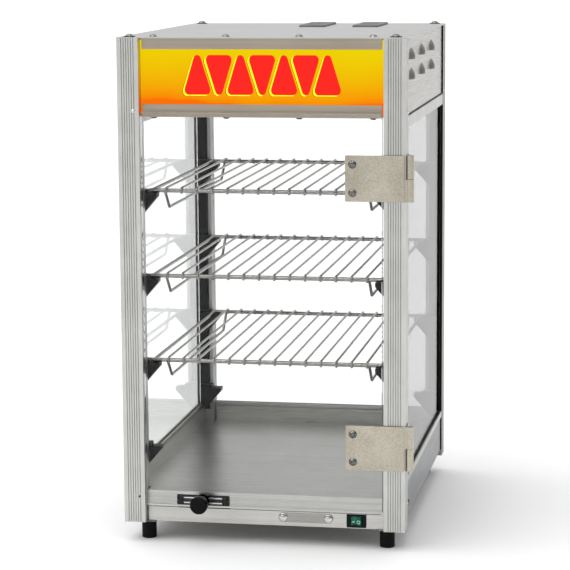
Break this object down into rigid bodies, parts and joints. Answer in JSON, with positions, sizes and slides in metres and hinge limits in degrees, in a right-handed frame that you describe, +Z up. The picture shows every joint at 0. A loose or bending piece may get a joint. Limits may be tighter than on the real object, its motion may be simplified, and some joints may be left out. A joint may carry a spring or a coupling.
{
  "type": "glass door merchandiser",
  "caption": "Heated countertop display cabinet with a lit sign, a hinged glass door, glass sides and lift-out wire shelves.",
  "frame": {"origin": "middle of the whole outline in plan, on the plane that the feet stand on", "axes": "+Z up, -Y out of the door's front face, +X towards the hinges (the viewer's right)"},
  "size_m": [0.3166, 0.4, 0.546],
  "materials": {
    "post_aluminium": "satin anodised",
    "channel_aluminium": "satin anodised",
    "stainless": "brushed",
    "trim_stainless": "brushed",
    "clear_glass": "clear",
    "sign_sheet": "gloss",
    "nickel": "matt nickel",
    "screw_steel": "polished",
    "washer_black": "black oxide",
    "foot_rubber": "matt",
    "support_black": "matt",
    "vent_grey": "satin",
    "shelf_chrome": "polished",
    "catch_black": "satin",
    "magnet_grey": "sintered",
    "pole_steel": "ground",
    "knob_black": "gloss",
    "switch_black": "satin",
    "rocker_green": "translucent gloss",
    "plate_metal": "satin",
    "seal_black": "matt",
    "pad_rubber": "matt",
    "lamp_white": "frosted",
    "holder_white": "matt",
    "heater_steel": "dull",
    "thermostat_body": "phenolic",
    "gland_black": "matt"
  },
  "bodies": {
    "cabinet": {"base_front": "stainless", "base_rear": "stainless", "base_side_left": "stainless", "base_side_right": "stainless", "blank_plate": "plate_metal", "bottom_panel": "stainless", "cabinet_screws": "screw_steel", "catch_housing": "catch_black", "catch_magnet": "magnet_grey", "catch_poles": "pole_steel", "ceiling_panel": "stainless", "cord_gland": "gland_black", "floor_panel": "stainless", "foot_plates": "screw_steel", "heater": "heater_steel", "hinge_pins": "screw_steel", "hinge_post_leaf_lower": "nickel", "hinge_post_leaf_upper": "nickel", "hood_rear": "stainless", "hood_side_left": "stainless", "hood_side_right": "stainless", "lamp_holders": "holder_white", "lower_channel_left": "channel_aluminium", "lower_channel_right": "channel_aluminium", "panel_seals": "seal_black", "plate_rivets": "screw_steel", "post_front_left": "post_aluminium", "post_front_right": "post_aluminium", "post_rear_left": "post_aluminium", "post_rear_right": "post_aluminium", "post_rivets": "screw_steel", "rear_channels": "channel_aluminium", "rear_glass": "clear_glass", "roof_panel": "stainless", "roof_vents": "vent_grey", "rubber_feet": "foot_rubber", "shelf_supports_left": "support_black", "shelf_supports_right": "support_black", "side_glass_left": "clear_glass", "side_glass_right": "clear_glass", "sign_lamp": "lamp_white", "sign_panel": "sign_sheet", "sign_trim_lower": "trim_stainless", "sign_trim_upper": "trim_stainless", "star_washers": "washer_black", "switch_housing": "switch_black", "thermostat": "thermostat_body", "upper_channel_left": "channel_aluminium", "upper_channel_right": "channel_aluminium"},
    "door": {"door_glass": "clear_glass", "hinge_door_leaf_upper": "nickel", "hinge_door_leaf_lower": "nickel", "hinge_pads": "pad_rubber", "hinge_glass_bolts": "screw_steel", "knob": "knob_black", "knob_fixings": "screw_steel"},
    "rocker": {"switch_rocker": "rocker_green"},
    "shelf_low": {"shelf_1": "shelf_chrome"},
    "shelf_middle": {"shelf_2": "shelf_chrome"},
    "shelf_high": {"shelf_3": "shelf_chrome"}
  },
  "joints": [
    {"name": "door_hinge", "type": "hinge", "parent": "cabinet", "child": "door", "pos_m": [0.1543, -0.1794, 0.2535], "axis": [0, 0, 1], "range_deg": [0, 240]},
    {"name": "rocker_tip", "type": "hinge", "parent": "cabinet", "child": "rocker", "pos_m": [0.0965, -0.1703, 0.0301], "axis": [0, 0, 1], "range_deg": [0, 20]},
    {"name": "shelf_low_lift", "type": "slide", "parent": "cabinet", "child": "shelf_low", "axis": [0, 0, 1], "range_m": [0, 0.02]},
    {"name": "shelf_middle_lift", "type": "slide", "parent": "cabinet", "child": "shelf_middle", "axis": [0, 0, 1], "range_m": [0, 0.02]},
    {"name": "shelf_high_lift", "type": "slide", "parent": "cabinet", "child": "shelf_high", "axis": [0, 0, 1], "range_m": [0, 0.02]}
  ]
}
